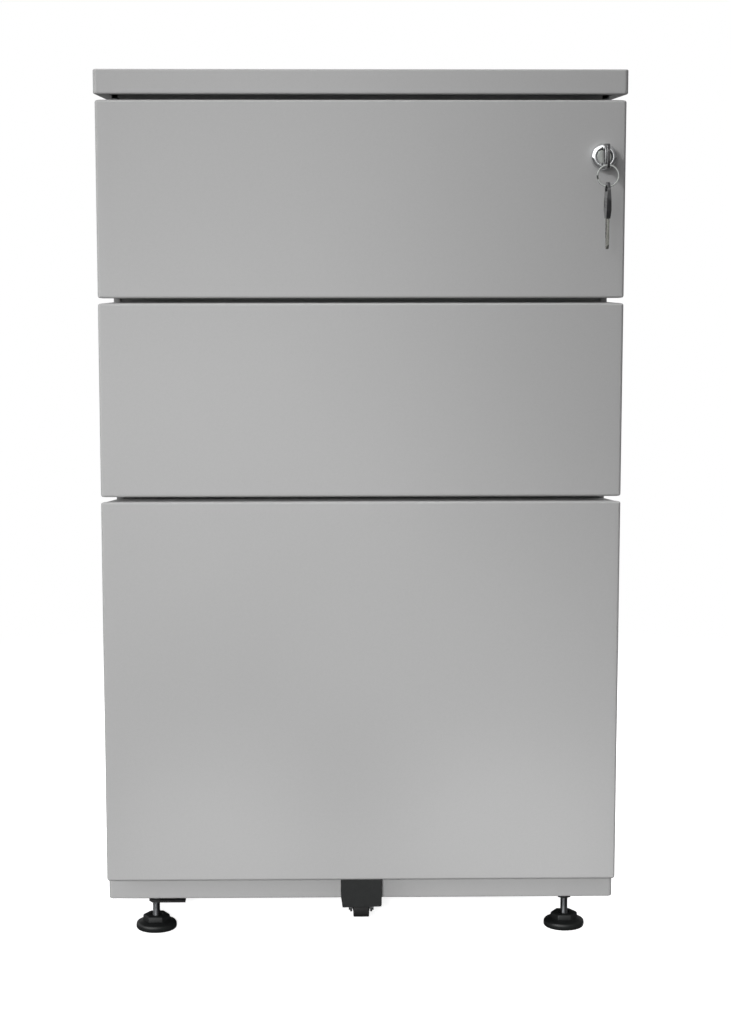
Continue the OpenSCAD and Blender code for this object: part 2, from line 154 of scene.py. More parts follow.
def paint(name, base, rough=0.46, seed=0.0, peel=0.35, spec=0.42):
    """Satin powder coat: slight tone drift, fine speckle, orange peel."""
    m, nt, bs, co = new_mat(name)
    mp = nt.nodes.new("ShaderNodeMapping")
    mp.inputs["Location"].default_value = (seed, seed * 1.7, -seed)
    nt.links.new(co, mp.inputs["Vector"])
    v = mp.outputs["Vector"]
    drift = ramp(nt, noise(nt, v, 5.0, 2.0), [(0.3, tuple(c * 0.985 for c in base)), (0.7, tuple(c * 1.015 for c in base))])
    speck = ramp(nt, noise(nt, v, 2600.0, 1.0, 0.6), [(0.3, 0.955), (0.5, 1.0), (0.72, 1.0)])
    dust = ramp(nt, noise(nt, v, 420.0, 3.0, 0.65), [(0.32, 0.985), (0.62, 1.0)])
    nt.links.new(mult(nt, mult(nt, drift, speck), dust), bs.inputs["Base Color"])
    nt.links.new(remap(nt, noise(nt, v, 90.0, 3.0, 0.6), rough - 0.015, rough + 0.02), bs.inputs["Roughness"])
    bs.inputs["Specular IOR Level"].default_value = spec
    n1 = bump(nt, bs, noise(nt, v, 620.0, 2.0, 0.55), 0.00006, peel)
    bump(nt, bs, noise(nt, v, 2400.0, 1.0, 0.5), 0.00001, 0.25, n1)
    return m


def metal(name, base, rough, grain=(1.0, 1.0, 1.0), gscale=900.0, wear=0.06, drift=0.05, depth=0.00001):
    """Plated metal with a drawn or polished grain and small variations of tone and gloss."""
    m, nt, bs, co = new_mat(name)
    v = stretch(nt, co, grain)
    tone = ramp(nt, noise(nt, v, gscale, 2.0, 0.6), [(0.3, tuple(c * (1 - drift) for c in base)), (0.7, tuple(min(1.0, c * (1 + drift)) for c in base))])
    stain = ramp(nt, noise(nt, co, 140.0, 3.0, 0.6), [(0.35, 0.93), (0.6, 1.0)])
    nt.links.new(mult(nt, tone, stain), bs.inputs["Base Color"])
    bs.inputs["Metallic"].default_value = 1.0
    nt.links.new(remap(nt, noise(nt, v, gscale * 1.7, 3.0, 0.6), max(0.02, rough - wear), rough + wear), bs.inputs["Roughness"])
    bump(nt, bs, noise(nt, v, gscale, 2.0, 0.6), depth, 0.3)
    return m


def plastic(name, base, rough, gscale=2200.0, grain=0.35, spec=0.45, drift=0.12):
    """Moulded plastic or rubber with a fine eroded grain."""
    m, nt, bs, co = new_mat(name)
    tone = ramp(nt, noise(nt, co, 160.0, 3.0, 0.6), [(0.3, tuple(c * (1 - drift) for c in base)), (0.7, tuple(c * (1 + drift) for c in base))])
    fleck = ramp(nt, noise(nt, co, gscale * 1.6, 1.0, 0.5), [(0.35, 0.9), (0.6, 1.0)])
    nt.links.new(mult(nt, tone, fleck), bs.inputs["Base Color"])
    nt.links.new(remap(nt, noise(nt, co, 300.0, 3.0, 0.6), rough - 0.05, rough + 0.07), bs.inputs["Roughness"])
    bs.inputs["Specular IOR Level"].default_value = spec
    bump(nt, bs, noise(nt, co, gscale, 2.0, 0.6), 0.00002, grain)
    return m


GREY = (0.442, 0.442, 0.442)
M = {
    "cabinet_paint": paint("cabinet_paint", GREY, seed=0.0),
    "front_paint": paint("front_paint", GREY, seed=3.1),
    "inner_paint": paint("inner_paint", (0.40, 0.40, 0.40), rough=0.5, seed=7.7, peel=0.25),
    "zinc_steel": metal("zinc_steel", (0.55, 0.56, 0.57), 0.34, grain=(1.0, 0.04, 1.0), gscale=1500.0),
    "buffer_rubber": plastic("buffer_rubber", (0.05, 0.05, 0.05), 0.75),
    "black_steel": plastic("black_steel", (0.03, 0.03, 0.03), 0.42, gscale=900.0),
    "bright_chrome": metal("bright_chrome", (0.78, 0.79, 0.80), 0.09, gscale=2500.0, wear=0.035, drift=0.02, depth=0.000003),
    "key_nickel": metal("key_nickel", (0.33, 0.33, 0.30), 0.24, grain=(1.0, 0.15, 1.0), gscale=3000.0),
    "key_plastic": plastic("key_plastic", (0.030, 0.030, 0.032), 0.15, gscale=3000.0, grain=0.05, spec=0.85),
    "castor_plastic": plastic("castor_plastic", (0.019, 0.020, 0.020), 0.55),
    "wheel_rubber": plastic("wheel_rubber", (0.02, 0.02, 0.02), 0.6, gscale=1500.0),
    "foot_plastic": plastic("foot_plastic", (0.012, 0.013, 0.013), 0.36, gscale=1600.0, grain=0.25),
    "stem_steel": metal("stem_steel", (0.42, 0.43, 0.44), 0.33, gscale=2200.0, drift=0.09),
}
SLOT = {r["node"]: r["material_slot"] for r in frame["record"]["subparts"]}
for name, o in N.items():
    o.data.materials.clear()
    o.data.materials.append(M[SLOT[name]])


# ------------------------------------------------------------------ mesh helpers
def add(name, verts, faces, body, slot, node=None, sharp=35.0, mat=None):
    me = bpy.data.meshes.new(name)
    me.from_pydata([tuple(map(float, v)) for v in verts], [], [tuple(map(int, f)) for f in faces])
    bm = bmesh.new()
    bm.from_mesh(me)
    bmesh.ops.recalc_face_normals(bm, faces=bm.faces)
    bm.to_mesh(me)
    bm.free()
    return place(name, me, body, slot, node, sharp, mat)


def place(name, me, body, slot, node=None, sharp=35.0, mat=None):
    me.materials.clear()
    me.materials.append(mat or M[slot])
    me.shade_smooth()
    if sharp is not None:
        me.set_sharp_from_angle(angle=math.radians(sharp))
    o = bpy.data.objects.new(name, me)
    sc.collection.objects.link(o)
    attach(o, body)
    if node:
        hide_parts(node)
    return o


def body_of(node):
    return N[node]["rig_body"]


def clean_copy(node, keep=None):
    """The CAD node's mesh, welded, with its flat faces merged; keep picks loose solids."""
    bm = bmesh.new()
    bm.from_mesh(N[node].data)
    bmesh.ops.remove_doubles(bm, verts=bm.verts, dist=2e-6)
    if keep is not None:
        seen, drop = set(), []
        for v in bm.verts:
            if v in seen:
                continue
            stack, isl = [v], []
            seen.add(v)
            while stack:
                u = stack.pop()
                isl.append(u)
                for e in u.link_edges:
                    w = e.other_vert(u)
                    if w not in seen:
                        seen.add(w)
                        stack.append(w)
            c = np.array([u.co for u in isl])
            if not keep(c.min(0), c.max(0)):
                drop += isl
        bmesh.ops.delete(bm, geom=drop, context="VERTS")
    bmesh.ops.dissolve_limit(bm, angle_limit=math.radians(0.5), verts=bm.verts, edges=bm.edges)
    bmesh.ops.recalc_face_normals(bm, faces=bm.faces)
    me = bpy.data.meshes.new(node + "_m")
    bm.to_mesh(me)
    bm.free()
    return me


def soften(o, width, segs=2, angle=32.0):
    b = o.modifiers.new("edge", "BEVEL")
    b.width = width
    b.segments = segs
    b.limit_method = "ANGLE"
    b.angle_limit = math.radians(angle)
    b.use_clamp_overlap = True
    return flatten(o)


def skin(node, width, segs=2, name=None, slot=None, keep=None, angle=32.0, cutters=()):
    """A finer copy of a CAD node with eased edges, standing for it."""
    me = clean_copy(node, keep)
    o = place(name or node + "_skin", me, body_of(node), slot or SLOT[node], node, sharp=None)
    if cutters:
        carve(o, cutters)
    return soften(o, width, segs, angle)


def carve(o, cutters):
    """Cuts closed shapes out of a piece and keeps the result as its mesh."""
    for c in cutters:
        m = o.modifiers.new("cut", "BOOLEAN")
        m.operation = "DIFFERENCE"
        m.solver = "EXACT"
        m.object = c
    dg = bpy.context.evaluated_depsgraph_get()
    me = bpy.data.meshes.new_from_object(o.evaluated_get(dg))
    old = o.data
    o.modifiers.clear()
    mats = [m for m in old.materials]
    o.data = me
    me.materials.clear()
    for m in mats:
        me.materials.append(m)
    me.polygons.foreach_set("material_index", [0] * len(me.polygons))
    bpy.data.meshes.remove(old)
    for c in cutters:
        cm = c.data
        bpy.data.objects.remove(c)
        bpy.data.meshes.remove(cm)


def raw(verts, faces, name="cutter"):
    me = bpy.data.meshes.new(name)
    me.from_pydata([tuple(map(float, v)) for v in verts], [], [tuple(map(int, f)) for f in faces])
    bm = bmesh.new()
    bm.from_mesh(me)
    bmesh.ops.recalc_face_normals(bm, faces=bm.faces)
    bm.to_mesh(me)
    bm.free()
    o = bpy.data.objects.new(name, me)
    sc.collection.objects.link(o)
    return o


def block(lo, hi):
    x0, y0, z0 = lo
    x1, y1, z1 = hi
    v = [(x0, y0, z0), (x1, y0, z0), (x1, y1, z0), (x0, y1, z0), (x0, y0, z1), (x1, y0, z1), (x1, y1, z1), (x0, y1, z1)]
    f = [(0, 3, 2, 1), (4, 5, 6, 7), (0, 1, 5, 4), (1, 2, 6, 5), (2, 3, 7, 6), (3, 0, 4, 7)]
    return v, f


def sweep(rings, closed=False):
    """Joins loops of the same number of points; ends are capped unless closed."""
    n = len(rings[0])
    verts = [p for r in rings for p in r]
    faces = []
    k = len(rings)
    for i in range(k if closed else k - 1):
        a, b = i * n, ((i + 1) % k) * n
        for j in range(n):
            faces.append((a + j, a + (j + 1) % n, b + (j + 1) % n, b + j))
    if not closed:
        faces.append(tuple(range(n))[::-1])
        faces.append(tuple((k - 1) * n + j for j in range(n)))
    return verts, faces


def rrect(hx0, hx1, hy0, hy1, r, n=6):
    """Rounded rectangle, anticlockwise from the lower right corner, with each corner point's share of turn."""
    pts = []
    for cx, cy, a0, flip in ((hx1 - r, hy0 + r, -90, 1), (hx1 - r, hy1 - r, 0, 0), (hx0 + r, hy1 - r, 90, 1), (hx0 + r, hy0 + r, 180, 0)):
        for i in range(n + 1):
            s = i / n
            a = math.radians(a0 + 90 * s)
            # share: 0 on the x sides, 1 on the y sides
            share = 1 - s if flip else s
            pts.append((cx + r * math.cos(a), cy + r * math.sin(a), share))
    return pts


def lathe(profile, origin, axis, segs=64, closed=False, phase=0.0):
    """Turns (radius, along) points round an axis; a radius of 0 closes an end."""
    ax = Vector(axis).normalized()
    u = ax.orthogonal().normalized()
    w = ax.cross(u)
    verts, faces, rows = [], [], []
    for r, a in profile:
        if r < 1e-9:
            rows.append([len(verts)])
            verts.append(Vector(origin) + ax * a)
        else:
            row = []
            for j in range(segs):
                t = 2 * math.pi * (j + phase) / segs
                row.append(len(verts))
                verts.append(Vector(origin) + ax * a + (u * math.cos(t) + w * math.sin(t)) * r)
            rows.append(row)
    k = len(rows)
    for i in range(k if closed else k - 1):
        A, B = rows[i], rows[(i + 1) % k]
        if len(A) == 1 and len(B) == 1:
            continue
        for j in range(segs):
            j2 = (j + 1) % segs
            if len(A) == 1:
                faces.append((A[0], B[j2], B[j]))
            elif len(B) == 1:
                faces.append((A[j], A[j2], B[0]))
            else:
                faces.append((A[j], A[j2], B[j2], B[j]))
    return verts, faces


def merge(parts):
    V, F = [], []
    for v, f in parts:
        k = len(V)
        V += list(v)
        F += [tuple(i + k for i in q) for q in f]
    return V, F


def arc(cx, cy, r, a0, a1, n):
    """Points on an arc, angles in degrees."""
    return [(cx + r * math.cos(math.radians(a0 + (a1 - a0) * i / n)), cy + r * math.sin(math.radians(a0 + (a1 - a0) * i / n))) for i in range(n + 1)]


def flatten(o):
    """Large flats shade flat beside the small radii."""
    w = o.modifiers.new("flats", "WEIGHTED_NORMAL")
    w.mode = "FACE_AREA"
    w.weight = 100
    w.keep_sharp = True
    return o


# ------------------------------------------------------------------ folded trays: top cover and base
def tray(node, name, flange, t=0.001, r_top=0.0019, r_low=0.0014, corner=0.003, cut=(), bores=()):
    lo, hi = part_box(node)
    z0, z1 = lo.z, hi.z

    def loop(inset, z):
        r = max(corner - inset, 0.0004)
        return [(p[0], p[1], z) for p in rrect(lo.x + inset, hi.x - inset, lo.y + inset, hi.y - inset, r)]

    prof = [(flange, z0 + t), (flange, z0)]
    prof += [(r_low + 0.0012, z0)]
    prof += [(r_low - r_low * math.sin(math.radians(a)), z0 + r_low - r_low * math.cos(math.radians(a))) for a in (0, 18, 36, 54, 72, 90)]
    prof += [(0.0, z0 + r_low + 0.0012), (0.0, z1 - r_top - 0.0012)]
    prof += [(r_top - r_top * math.cos(math.radians(a)), z1 - r_top + r_top * math.sin(math.radians(a))) for a in (0, 15, 30, 45, 60, 75, 90)]
    prof += [(r_top + 0.002, z1)]
    inner = [(r_top + 0.002, z1 - t), (r_top, z1 - t)]
    ri = r_top - t
    inner += [(t + ri - ri * math.cos(math.radians(a)), z1 - t - ri + ri * math.sin(math.radians(a))) for a in (60, 30, 0)]
    inner += [(t, z0 + r_low)]
    rl = r_low - t
    inner += [(t + rl - rl * math.cos(math.radians(a)), z0 + t + rl - rl * math.sin(math.radians(a))) for a in (45, 90)]
    outer = [loop(i, z) for i, z in prof]
    inside = [loop(i, z) for i, z in inner]
    # outer skin from the flange edge to the top cap, inner skin from the inner cap back to the flange
    v1, f1 = sweep(outer)
    f1 = f1[:-2] + [f1[-1]]
    v2, f2 = sweep(inside)
    f2 = f2[:-2] + [f2[-2]]
    V, F = merge([(v1, f1), (v2, f2)])
    n = len(outer[0])
    a, b = 0, len(v1) + (len(inside) - 1) * n
    for j in range(n):
        F.append((a + j, a + (j + 1) % n, b + (j + 1) % n, b + j))
    o = add(name, V, F, body_of(node), SLOT[node], node)
    if cut or bores:
        carve(o, [raw(*block(*c)) for c in cut] + [raw(*b) for b in bores])
        o.data.set_sharp_from_angle(angle=math.radians(35))
    return flatten(o)


sp_lo, sp_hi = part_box("side_panel_right")
tray("lid", "top_cover", 0.0105, r_top=0.0012, cut=[((-sp_hi.x - 0.0004, lid_hi.y - 0.014, lid_lo.z - 0.001), (sp_hi.x + 0.0004, lid_hi.y - 0.001, lid_lo.z + 0.002))])
bt_lo, bt_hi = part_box("base_tray")
stems = []
for tag in ("front_left", "front_right", "rear_left", "rear_right"):
    p_lo, p_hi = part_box("foot_pad_" + tag)
    c = ((p_lo.x + p_hi.x) / 2, (p_lo.y + p_hi.y) / 2, bt_hi.z)
    stems.append(lathe([(0, -0.005), (0.0042, -0.005), (0.0042, 0.004), (0, 0.004)], c, (0, 0, 1), 48))
tray("base_tray", "base_cover", 0.020, r_top=0.0015, r_low=0.0013, bores=stems)


# ------------------------------------------------------------------ drawer fronts
def front(node, name, R=0.0019, t=0.001, holes=()):
    lo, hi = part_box(node)
    W, z0, z1, y0, D = hi.x, lo.z, hi.z, lo.y, hi.y - lo.y
    bevel_in = 0.0108
    # side: round from the face, then straight to the rear corner
    v = np.array([bevel_in - R, D - R])
    dist = np.linalg.norm(v)
    ang = math.atan2(v[1], v[0]) + math.acos(R / dist)   # direction of the tangent point from the arc's centre
    turn = math.degrees(ang) + 90
    rc = 0.0011

    def loop(ix, dx, iz, dz):
        r = max(rc - min(ix, iz), 0.0003)
        return [(p[0], y0 + dx * (1 - p[2]) + dz * p[2], p[1]) for p in rrect(-W + ix, W - ix, z0 + iz, z1 - iz, r, 5)]

    rings = [loop(R + 0.0035, 0, R + 0.0035, 0)]
    steps = 9
    for i in range(steps + 1):
        a = math.radians(-90 + turn * i / steps)
        b = math.radians(90 * i / steps)
        # side angles run from -90 (face) round the outside of the arc
        ix = R - R * math.cos(a + math.pi / 2 - math.pi / 2)
        ix = R - R * math.sin(math.radians(turn * i / steps))
        dx = R - R * math.cos(math.radians(turn * i / steps))
        rings.append(loop(ix, dx, R - R * math.sin(b), R - R * math.cos(b)))
    ex, ed = ix, dx
    for s in (0.12, 0.95):
        rings.append(loop(ex + (bevel_in - ex) * s, ed + (D - ed) * s, 0, R + (D - R) * s))
    rings.append(loop(bevel_in, D, 0, D))
    k = t * 1.14
    rings.append(loop(bevel_in + k, D, t, D))
    rings.append(loop(bevel_in * 0.2 + k, D * 0.2, t, D * 0.2))
    rings.append(loop(bevel_in * 0.08 + k + 0.001, t, t + 0.001, t))
    V, F = sweep(rings)
    o = add(name, V, F, body_of(node), SLOT[node], node)
    if holes:
        carve(o, [raw(*h) for h in holes])
        o.data.set_sharp_from_angle(angle=math.radians(35))
    return flatten(o)


h_lo, h_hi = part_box("lock_housing")
LX, LZ = (h_lo.x + h_hi.x) / 2, (h_lo.z + h_hi.z) / 2      # lock axis
BR = (h_hi.x - h_lo.x) / 2                                  # bezel radius
barrel_hole = lathe([(0, -0.004), (0.0071, -0.004), (0.0071, 0.006), (0, 0.006)], (LX, YF, LZ), (0, 1, 0), 64)
front("drawer_top_front", "drawer_top_face", holes=[barrel_hole])
front("drawer_middle_front", "drawer_middle_face")
front("drawer_file_front", "drawer_file_face")

# ------------------------------------------------------------------ sheet-metal parts with eased edges
for node, w in (("side_panel_left", 0.00035), ("side_panel_right", 0.00035), ("back_panel", 0.0003),
                ("drawer_top_liner", 0.0003), ("drawer_middle_liner", 0.0003), ("drawer_file_liner", 0.0003),
                ("drawer_top_tub", 0.0004), ("drawer_middle_tub", 0.0004), ("drawer_file_tub", 0.0004),
                ("drawer_top_back", 0.0003), ("drawer_middle_back", 0.0003), ("drawer_file_back", 0.0003),
                ("hanging_rails", 0.0003), ("foot_plates", 0.0004), ("lock_nut", 0.0003),
                ("drawer_top_catch", 0.0003), ("drawer_middle_catch", 0.0003), ("drawer_file_catch", 0.0003),
                ("front_post_left", 0.0002), ("front_post_right", 0.0002)):
    skin(node, w)

# ------------------------------------------------------------------ lock
y = YF
prof = [(0.0051, 0.0138), (0.0070, 0.0138), (0.0070, 0.0002), (BR - 0.0006, 0.0000), (BR - 0.0001, -0.0003), (BR, -0.0008)]
prof += [(BR - 0.0001, -0.0014)]
prof += [(BR - 0.0022 + 0.0021 * math.cos(math.radians(a)), -0.0026 - 0.0023 * math.sin(math.radians(a))) for a in (10, 25, 40, 55, 70, 85)]
prof += [(0.0066, -0.0050), (0.0061, -0.0049), (0.0058, -0.0045), (0.0056, -0.0040), (0.0051, -0.0039)]
V, F = lathe(prof, (LX, y, LZ), (0, 1, 0), 96, closed=True)
add("lock_bezel", V, F, "drawer_top", "bright_chrome", "lock_housing", sharp=50)
plug = skin("lock_plug", 0.00025, 3)
plug.data.materials[0] = metal("plug_satin", (0.46, 0.48, 0.46), 0.32, gscale=2500.0, drift=0.03, depth=0.000003)
skin("lock_cam", 0.0002, 2)


# ------------------------------------------------------------------ keys
def key(prefix, head, blade, put, body):
    """put(length, width, thickness) -> point; length runs from the head's outer end to the blade's tip."""
    def panel(sign):
        pts = []
        n = 40
        for s in (0.00155, 0.0040):
            for i in range(n):
                a = 2 * math.pi * i / n
                pts.append(put(0.0142 + 0.0046 * math.cos(a), 0.0064 * math.sin(a), sign * s))
        f = [(i, (i + 1) % n, n + (i + 1) % n, n + i) for i in range(n)] + [tuple(range(n)), tuple(range(n, 2 * n))]
        return raw(pts, f)

    o = place(prefix + "_bow", clean_copy(head), body_of(head), SLOT[head], head, sharp=None)
    taper(o, lambda v: (v.y - KY) if prefix == "key" else (SZ - v.z), prefix == "key")
    carve(o, [panel(1), panel(-1)])
    soften(o, 0.00095, 4, 40)
    ribs = []
    for sign in (-1, 1):
        for k in (-1, 0, 1):
            c = 0.0142 + 0.0023 * k
            half = 0.0040 if k == 0 else 0.0034
            rows = []
            for h, w, e in ((0.0012, 0.00042, half + 0.0004), (0.00150, 0.00036, half + 0.0003), (0.00168, 0.0002, half)):
                row = []
                for q in range(4):
                    for i in range(4):
                        a = math.radians(90 * q + 30 * i)
                        ce, cw = math.cos(a), math.sin(a)
                        row.append(put(c + w * ce, (e if (q in (0, 1)) else -e) + w * 0.0 + (w * cw), sign * h))
                rows.append(row)
            ribs.append(capsule(rows))
    V, F = merge(ribs)
    add(prefix + "_ribs", V, F, body, "key_plastic", sharp=60)
    groove = []
    for sign in (-1, 1):
        pts = [put(L, w, sign * s) for s in (0.00062, 0.0016) for L, w in ((0.0262, -0.0016), (0.0470, -0.0016), (0.0470, 0.0002), (0.0262, 0.0002))]
        groove.append(raw(pts, [(0, 1, 2, 3), (7, 6, 5, 4), (0, 4, 5, 1), (1, 5, 6, 2), (2, 6, 7, 3), (3, 7, 4, 0)]))
    skin(blade, 0.0002, 2, name=prefix + "_blade", cutters=groove)


BOW = ((0.0, 0.50), (0.004, 0.56), (0.008, 0.74), (0.012, 0.92), (0.016, 0.99), (0.020, 1.0), (0.023, 0.94), (0.027, 0.80))


def thick(L):
    for (a, f), (b, g) in zip(BOW, BOW[1:]):
        if L <= b:
            return f + (g - f) * max(0.0, L - a) / (b - a)
    return BOW[-1][1]


def taper(o, length, along_y):
    """Moulded bow: its thickness follows BOW along its length."""
    bm = bmesh.new()
    bm.from_mesh(o.data)
    bmesh.ops.triangulate(bm, faces=bm.faces)
    for i in range(1, 14):
        L = 0.002 * i
        co = (0, KY + L, 0) if along_y else (0, 0, SZ - L)
        no = (0, 1, 0) if along_y else (0, 0, 1)
        bmesh.ops.bisect_plane(bm, geom=list(bm.verts) + list(bm.edges) + list(bm.faces), dist=1e-6, plane_co=co, plane_no=no)
    for v in bm.verts:
        v.co.x = LX + (v.co.x - LX) * thick(length(v.co))
    bmesh.ops.dissolve_limit(bm, angle_limit=math.radians(0.3), verts=bm.verts, edges=bm.edges)
    bmesh.ops.recalc_face_normals(bm, faces=bm.faces)
    bm.to_mesh(o.data)
    bm.free()


def capsule(rows):
    """A little bar with round ends from stacked loops."""
    return sweep(rows)


kh_lo, kh_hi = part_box("key_head")
sh_lo, sh_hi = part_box("spare_key_head")
KY = kh_lo.y
RY = (sh_lo.y + sh_hi.y) / 2
SZ = sh_hi.z
key("key", "key_head", "key_blade", lambda L, w, t: (LX + t, KY + L, LZ + w), "lock_plug")
key("spare_key", "spare_key_head", "spare_key_blade", lambda L, w, t: (LX + t, RY + w, SZ - L), "spare_key")

# split ring: two turns of flat wire side by side, crossing once
r_lo, r_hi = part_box("key_ring")
rc_ = (r_lo + r_hi) / 2
rad = (r_hi.x - r_lo.x) / 2 - 0.0006
rings = []
steps = 150
for i in range(steps + 1):
    th = 4 * math.pi * i / steps
    s = (th - 2 * math.pi) / 0.45
    s = max(-1.0, min(1.0, s))
    off = 0.00029 * (1.5 * s - 0.5 * s ** 3)
    a = th + math.radians(200)
    er = Vector((math.cos(a), 0, math.sin(a)))
    ey = Vector((0, 1, 0))
    sec = []
    for u, w in ((0.58, 0.10), (0.48, 0.25), (0.0, 0.27), (-0.48, 0.25), (-0.58, 0.10), (-0.58, -0.10), (-0.48, -0.25), (0.0, -0.27), (0.48, -0.25), (0.58, -0.10)):
        sec.append(rc_ + er * (rad + u * MM) + ey * (off + w * MM))
    rings.append(sec)
V, F = sweep(rings)
ring = add("split_ring", V, F, "key_ring", "bright_chrome", "key_ring", sharp=50)
ring.data.materials[0] = metal("ring_steel", (0.50, 0.52, 0.50), 0.13, gscale=2500.0, wear=0.05, drift=0.04, depth=0.000003)

# ------------------------------------------------------------------ castor
c_lo, c_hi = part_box("castor_housing")
x0, x1, zb, zt = c_lo.x, c_hi.x, c_lo.z, c_hi.z
ya, yb = c_lo.y, c_hi.y
outline = [(x0 + 0.0012, zb), (x1 - 0.0008, zb + 0.0006), (x1, zb + 0.0016), (x1, zt), (x0, zt), (x0, zb + 0.0085)]
V = [(x, ya, z) for x, z in outline] + [(x, yb, z) for x, z in outline]
n = len(outline)
F = [tuple(range(n)), tuple(range(2 * n - 1, n - 1, -1))] + [(i, (i + 1) % n, n + (i + 1) % n, n + i) for i in range(n)]
o = add("castor_cover", V, F, "drawer_file", "castor_plastic", "castor_housing", sharp=None)
carve(o, [raw(*block((x0 + 0.002, ya + 0.001, zb - 0.004), (x1 - 0.002, yb - 0.001, zt - 0.002)))])
soften(o, 0.00045, 3)
skin("castor_fork", 0.0003, 2)
skin("castor_axle", 0.0002, 2)
w_lo, w_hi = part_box("castor_wheel")
cw = (w_lo + w_hi) / 2
wr = (w_hi.z - w_lo.z) / 2
half = (w_hi.x - w_lo.x) / 2
prof = [(0.00155, -half), (0.0030, -half), (0.0033, -half + 0.0003), (0.0034, -half + 0.0009), (0.0046, -half + 0.0011), (wr - 0.0012, -half + 0.0004)]
prof += [(wr - 0.0009 + 0.0009 * math.sin(math.radians(a)), -half + 0.0012 - 0.0009 * math.cos(math.radians(a))) for a in (15, 40, 65, 88)]
prof += [(wr, 0.0)]
full = prof + [(r, -a) for r, a in prof[-2::-1]]
V, F = lathe(full, cw, (1, 0, 0), 72, closed=True)
add("castor_roller", V, F, "castor_wheel", "wheel_rubber", "castor_wheel", sharp=40)


# ------------------------------------------------------------------ levelling feet
def thread(cx, cy, z0, z1, r, pitch=0.001, depth=0.00052, cols=28, rows_per=6):
    """A rod with a true helical thread between plain ends."""
    verts, faces = [], []
    nrow = int(round((z1 - z0) / pitch * rows_per))
    for i in range(nrow + 1):
        z = z0 + (z1 - z0) * i / nrow
        fade = min(1.0, (z - z0) / (0.8 * pitch), (z1 - z) / (0.8 * pitch))
        for j in range(cols):
            a = 2 * math.pi * j / cols
            f = ((z - z0) / pitch - j / cols) % 1.0
            tri = abs(2 * f - 1)
            tri = min(1.0, max(0.0, (tri - 0.1) / 0.75))
            rr = r - depth * (1 - tri) * 1.0 if fade >= 1 else r - depth * (1 - tri * fade)
            verts.append((cx + rr * math.cos(a), cy + rr * math.sin(a), z))
    for i in range(nrow):
        for j in range(cols):
            a, b = i * cols + j, i * cols + (j + 1) % cols
            faces.append((a, b, b + cols, a + cols))
    faces.append(tuple(range(cols))[::-1])
    faces.append(tuple(nrow * cols + j for j in range(cols)))
    return verts, faces


def hexring(cx, cy, r, z, rnd, turn=0.0):
    """Hexagon with rounded corners."""
    pts = []
    for k in range(6):
        a = math.radians(60 * k + turn)
        c = Vector((math.cos(a), math.sin(a)))
        for s in (-1, -0.5, 0, 0.5, 1):
            b = a + math.radians(30 * s)
            apo = Vector((math.cos(b), math.sin(b)))
            p = c * (r - rnd / math.cos(math.radians(30))) + apo * rnd
            pts.append((cx + p.x, cy + p.y, z))
    return pts


def foot(tag):
    body = "foot_" + tag
    pad, stem = "foot_pad_" + tag, "foot_stem_" + tag
    lo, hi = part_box(pad)
    cx, cy, R = (lo.x + hi.x) / 2, (lo.y + hi.y) / 2, (hi.x - lo.x) / 2
    z0, z1 = lo.z, hi.z
    prof = [(0, z0), (R - 0.0016, z0)]
    prof += [(R - 0.0016 + 0.0016 * math.sin(math.radians(a)), z0 + 0.0016 - 0.0016 * math.cos(math.radians(a))) for a in (30, 60, 90)]
    prof += [(R, z0 + 0.0034)]
    prof += [(R - 0.0023 + 0.0023 * math.cos(math.radians(a)), z0 + 0.0034 + 0.0023 * math.sin(math.radians(a))) for a in (25, 50, 75)]
    prof += [(R - 0.0040, z0 + 0.0060), (R - 0.0052, z0 + 0.0068), (0.0044, z0 + 0.0070), (0.0044, z0 + 0.0051), (0, z0 + 0.0051)]
    disc = lathe([(r, a) for r, a in prof], (cx, cy, 0), (0, 0, 1), 72)
    rings = [hexring(cx, cy, 0.0108, z0 + 0.0062, 0.0012), hexring(cx, cy, 0.0106, z1 - 0.0010, 0.0012),
             hexring(cx, cy, 0.0103, z1 - 0.0004, 0.0012), hexring(cx, cy, 0.0097, z1, 0.0012),
             hexring(cx, cy, 0.0056, z1, 0.0044), hexring(cx, cy, 0.0053, z1 - 0.0003, 0.0043), hexring(cx, cy, 0.0053, z0 + 0.0062, 0.0043)]
    boss = sweep(rings, closed=True)
    V, F = merge([disc, boss])
    add("foot_base_" + tag, V, F, body, "foot_plastic", pad, sharp=38)
    s_lo, s_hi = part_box(stem)
    rod = thread(cx, cy, z0 + 0.0060, s_hi.z, 0.0029)
    collar = lathe([(0, s_lo.z), (0.0042, s_lo.z), (0.0043, s_lo.z + 0.0002), (0.0043, s_lo.z + 0.0012), (0.0039, s_lo.z + 0.0016), (0.0029, s_lo.z + 0.0017), (0, s_lo.z + 0.0017)], (cx, cy, 0), (0, 0, 1), 40)
    V, F = merge([rod, collar])
    add("foot_thread_" + tag, V, F, body, "stem_steel", stem, sharp=50)
    nut = clean_copy(stem, keep=lambda a, b: (b[0] - a[0]) > 0.0101 or (b[1] - a[1]) > 0.0101)
    o = place("foot_nut_" + tag, nut, body, "black_steel", None, sharp=None)
    soften(o, 0.0005, 3)


for tag in ("front_left", "front_right", "rear_left", "rear_right"):
    foot(tag)

